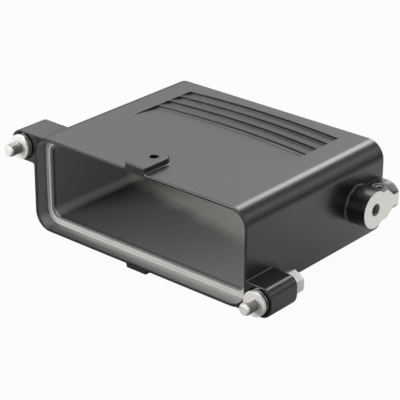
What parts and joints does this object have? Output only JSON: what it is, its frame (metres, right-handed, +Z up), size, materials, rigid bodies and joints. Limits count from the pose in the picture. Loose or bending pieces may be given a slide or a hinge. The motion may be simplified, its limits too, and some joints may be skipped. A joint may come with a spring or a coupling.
{
  "type": "rectangular connector hood",
  "caption": "Die-cast rectangular connector hood with a sealed mating mouth, sprung captive locking screws on corner lugs, an earth boss and a threaded cable entry.",
  "frame": {"origin": "centre of the mating rim's plane, midway between the two locking screws", "axes": "+X along the mouth's long side towards the earth boss, +Y from the mouth to the back, +Z up, away from the broad side it lies on"},
  "size_m": [0.1594, 0.1157, 0.0535],
  "materials": {
    "coat": "satin powder coat",
    "seal": "matt",
    "screw": "bright",
    "washer": "bright",
    "spring": "drawn wire"
  },
  "bodies": {
    "hood": {"hood_shell": "coat", "mating_seal": "seal", "left_spring": "spring", "right_spring": "spring"},
    "left_retainer": {"left_retaining_washer": "washer", "left_head_washer": "washer"},
    "left_screw": {"left_locking_screw": "screw"},
    "right_retainer": {"right_retaining_washer": "washer", "right_head_washer": "washer"},
    "right_screw": {"right_locking_screw": "screw"}
  },
  "joints": [
    {"name": "left_screw_slide", "type": "slide", "parent": "hood", "child": "left_retainer", "axis": [0, 1, 0], "range_m": [0, 0.0055], "stiffness_N_per_m": 1900, "springref_m": -0.003, "deforming": ["left_spring"]},
    {"name": "left_screw_turn", "type": "hinge", "parent": "left_retainer", "child": "left_screw", "pos_m": [-0.0722, 0, 0.0165], "axis": [0, 1, 0], "continuous": true},
    {"name": "right_screw_slide", "type": "slide", "parent": "hood", "child": "right_retainer", "axis": [0, 1, 0], "range_m": [0, 0.0055], "stiffness_N_per_m": 1900, "springref_m": -0.003, "deforming": ["right_spring"]},
    {"name": "right_screw_turn", "type": "hinge", "parent": "right_retainer", "child": "right_screw", "pos_m": [0.0722, 0, -0.0165], "axis": [0, 1, 0], "continuous": true}
  ]
}
